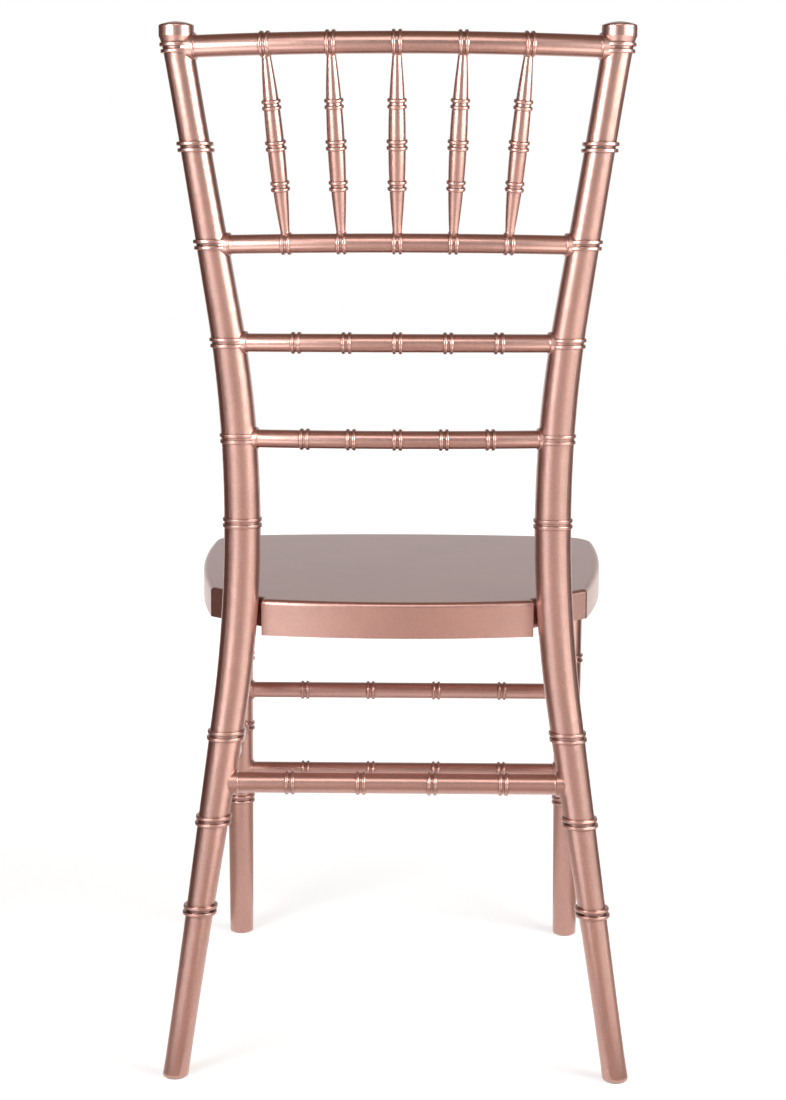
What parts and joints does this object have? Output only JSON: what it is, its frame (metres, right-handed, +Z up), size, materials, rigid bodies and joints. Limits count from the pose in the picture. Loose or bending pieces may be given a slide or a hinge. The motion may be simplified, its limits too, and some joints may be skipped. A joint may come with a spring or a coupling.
{
  "type": "chiavari chair",
  "caption": "Armless event chair with bamboo-look ringed posts, a bowed ladder back with a row of turned spindles, a flat rounded seat and ringed stretchers between the legs",
  "frame": {"origin": "on the floor, under the middle of the chair's bounding box", "axes": "+Z up; the sitter faces -Y, so the back is on the +Y side; +X is the sitter's left"},
  "size_m": [0.4128, 0.4758, 0.918],
  "materials": {
    "frame_paint": "solid turned wood in satin rose-gold metallic paint with a fine fleck",
    "seat_paint": "solid wood in satin rose-gold metallic paint with a fine fleck",
    "fastener_steel": "zinc plated",
    "insert_brass": "plain turned brass",
    "glide_plastic": "matt moulded plastic"
  },
  "bodies": {
    "root": {"rear_post_left": "frame_paint", "rear_post_right": "frame_paint", "crest_rail": "frame_paint", "spindle_rail": "frame_paint", "middle_back_rail": "frame_paint", "lower_back_rail": "frame_paint", "spindle_middle": "frame_paint", "spindle_inner_left": "frame_paint", "spindle_inner_right": "frame_paint", "spindle_outer_left": "frame_paint", "spindle_outer_right": "frame_paint", "front_leg_left": "frame_paint", "front_leg_right": "frame_paint", "front_upper_stretcher": "frame_paint", "front_lower_stretcher": "frame_paint", "rear_stretcher": "frame_paint", "side_upper_stretcher_left": "frame_paint", "side_upper_stretcher_right": "frame_paint", "side_lower_stretcher_left": "frame_paint", "side_lower_stretcher_right": "frame_paint", "seat_panel": "seat_paint", "front_apron": "seat_paint", "rear_apron": "seat_paint", "side_apron_left": "seat_paint", "side_apron_right": "seat_paint", "front_corner_block_left": "seat_paint", "front_corner_block_right": "seat_paint", "rear_corner_block_left": "seat_paint", "rear_corner_block_right": "seat_paint", "block_screws": "fastener_steel", "seat_bolts": "fastener_steel", "threaded_inserts": "insert_brass", "front_glide_left": "glide_plastic", "front_glide_right": "glide_plastic", "rear_glide_left": "glide_plastic", "rear_glide_right": "glide_plastic"}
  },
  "joints": []
}
